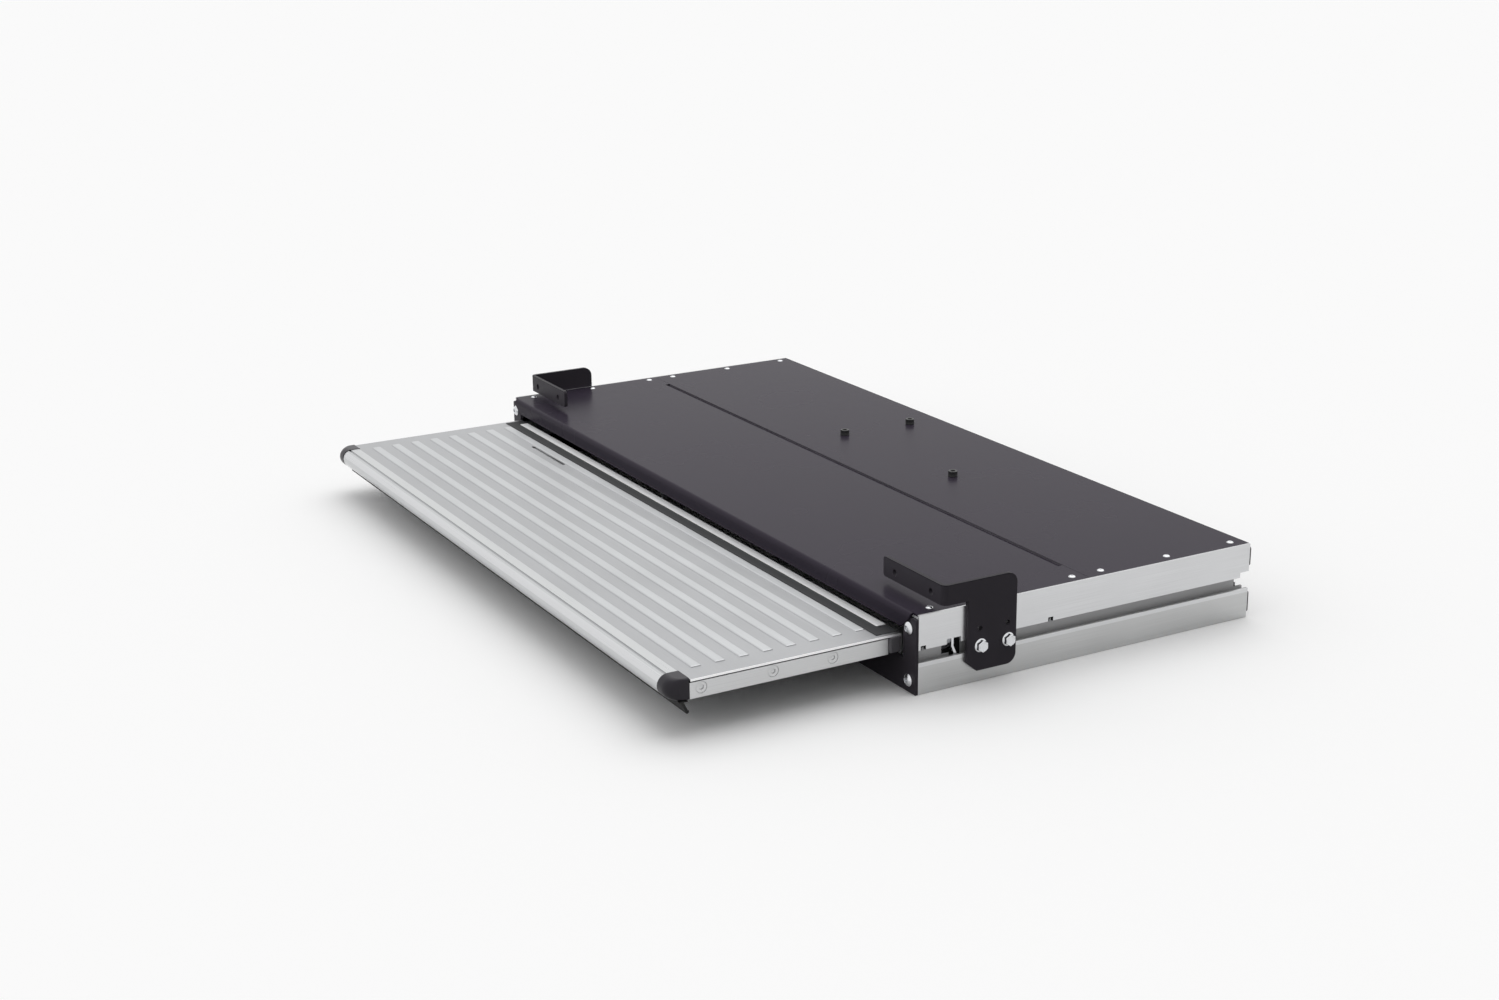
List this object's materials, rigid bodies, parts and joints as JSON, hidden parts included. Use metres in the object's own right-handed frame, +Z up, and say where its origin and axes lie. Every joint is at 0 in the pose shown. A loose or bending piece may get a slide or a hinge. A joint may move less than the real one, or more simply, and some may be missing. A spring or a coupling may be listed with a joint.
{
  "type": "caravan pull out step",
  "caption": "Flat caravan step cassette with black cover, mounting brackets and a ribbed aluminium tread that slides out on rollers, driven by a belt.",
  "frame": {"origin": "on the underside of the front crossbar, midway between the two side rails and level with their front ends", "axes": "+X across the step towards the right-hand rail as seen when facing the tread, +Y from the tread back under the floor, +Z up"},
  "size_m": [0.8984, 0.6206, 0.099],
  "materials": {
    "rail_aluminium": "brushed extrusion",
    "cover_paint": "fine satin powder coat, near black",
    "black_paint": "black powder coat",
    "bright_fastener": "bright plated steel",
    "zinc_steel": "zinc plated steel",
    "black_screw": "black oxide",
    "cast_housing": "die cast, matt",
    "bush_bronze": "sintered bronze",
    "motor_paint": "black enamel",
    "black_plastic": "moulded, matt black",
    "cap_plastic": "moulded, satin black",
    "belt_rubber": "ribbed rubber",
    "seal_rubber": "soft black rubber",
    "grip_rubber": "dark grey rubber strip",
    "tread_aluminium": "satin anodised, fine brushing",
    "trim_aluminium": "bright anodised",
    "inner_aluminium": "mill finish"
  },
  "bodies": {
    "cassette": {"side_rail_right": "rail_aluminium", "side_rail_left": "rail_aluminium", "front_cover": "cover_paint", "rear_cover": "cover_paint", "front_crossbar": "black_paint", "rear_plate": "black_paint", "bracket_right": "black_paint", "bracket_left": "black_paint", "bracket_bolts": "bright_fastener", "slot_nuts": "zinc_steel", "front_plate_bolts": "bright_fastener", "rear_plate_screws": "zinc_steel", "cover_rivets": "bright_fastener", "drive_cap_screws": "black_screw", "track_clips": "bright_fastener", "drive_plate": "zinc_steel", "gearbox_housing": "cast_housing", "gearbox_lid": "cast_housing", "gearbox_screws": "zinc_steel", "shaft_bush": "bush_bronze", "motor_can": "motor_paint", "motor_end_cap": "black_plastic", "motor_bracket": "zinc_steel", "motor_end_screws": "zinc_steel", "power_socket": "black_plastic", "idler_bracket": "zinc_steel", "idler_axle": "zinc_steel", "drive_belt": "belt_rubber"},
    "step": {"tread_sheet": "tread_aluminium", "nose_profile": "tread_aluminium", "end_cap_right": "cap_plastic", "end_cap_left": "cap_plastic", "nose_seal": "seal_rubber", "rubber_strip": "grip_rubber", "rear_trim": "trim_aluminium", "side_bar_right": "tread_aluminium", "side_bar_left": "tread_aluminium", "side_bar_screws": "tread_aluminium", "arm_right": "inner_aluminium", "arm_left": "inner_aluminium", "guide_blocks": "black_plastic", "cross_channels": "inner_aluminium", "rear_beam": "inner_aluminium", "belt_arm": "zinc_steel", "belt_arm_bolts": "zinc_steel", "belt_clamp": "black_plastic", "roller_axles": "zinc_steel", "roller_clips": "zinc_steel"},
    "front_roller_right": {"front_roller_right": "black_plastic"},
    "front_roller_left": {"front_roller_left": "black_plastic"},
    "rear_roller_right": {"rear_roller_right": "black_plastic"},
    "rear_roller_left": {"rear_roller_left": "black_plastic"},
    "drive_pulley": {"drive_shaft": "zinc_steel", "drive_pulley": "black_plastic"},
    "idler_pulley": {"idler_pulley": "black_plastic"}
  },
  "joints": [
    {"name": "step_slide", "type": "slide", "parent": "cassette", "child": "step", "axis": [0, 1, 0], "range_m": [0, 0.212]},
    {"name": "front_roller_right_spin", "type": "hinge", "parent": "step", "child": "front_roller_right", "pos_m": [0.4237, 0.036, 0.043], "axis": [1, 0, 0], "continuous": true},
    {"name": "front_roller_left_spin", "type": "hinge", "parent": "step", "child": "front_roller_left", "pos_m": [-0.4237, 0.036, 0.043], "axis": [1, 0, 0], "continuous": true},
    {"name": "rear_roller_right_spin", "type": "hinge", "parent": "step", "child": "rear_roller_right", "pos_m": [0.4237, 0.145, 0.043], "axis": [1, 0, 0], "continuous": true},
    {"name": "rear_roller_left_spin", "type": "hinge", "parent": "step", "child": "rear_roller_left", "pos_m": [-0.4237, 0.145, 0.043], "axis": [1, 0, 0], "continuous": true},
    {"name": "drive_pulley_spin", "type": "hinge", "parent": "cassette", "child": "drive_pulley", "pos_m": [-0.088, 0.296, 0.062], "axis": [0, 0, 1], "continuous": true},
    {"name": "idler_pulley_spin", "type": "hinge", "parent": "cassette", "child": "idler_pulley", "pos_m": [-0.088, 0.02, 0.062], "axis": [0, 0, 1], "continuous": true}
  ],
  "couplings": [
    {"joint": "front_roller_right_spin", "follows": "step_slide", "rad_per_m": -93.458},
    {"joint": "front_roller_left_spin", "follows": "step_slide", "rad_per_m": -93.458},
    {"joint": "rear_roller_right_spin", "follows": "step_slide", "rad_per_m": 93.458},
    {"joint": "rear_roller_left_spin", "follows": "step_slide", "rad_per_m": 93.458},
    {"joint": "drive_pulley_spin", "follows": "step_slide", "rad_per_m": 58.651},
    {"joint": "idler_pulley_spin", "follows": "step_slide", "rad_per_m": 58.651}
  ]
}
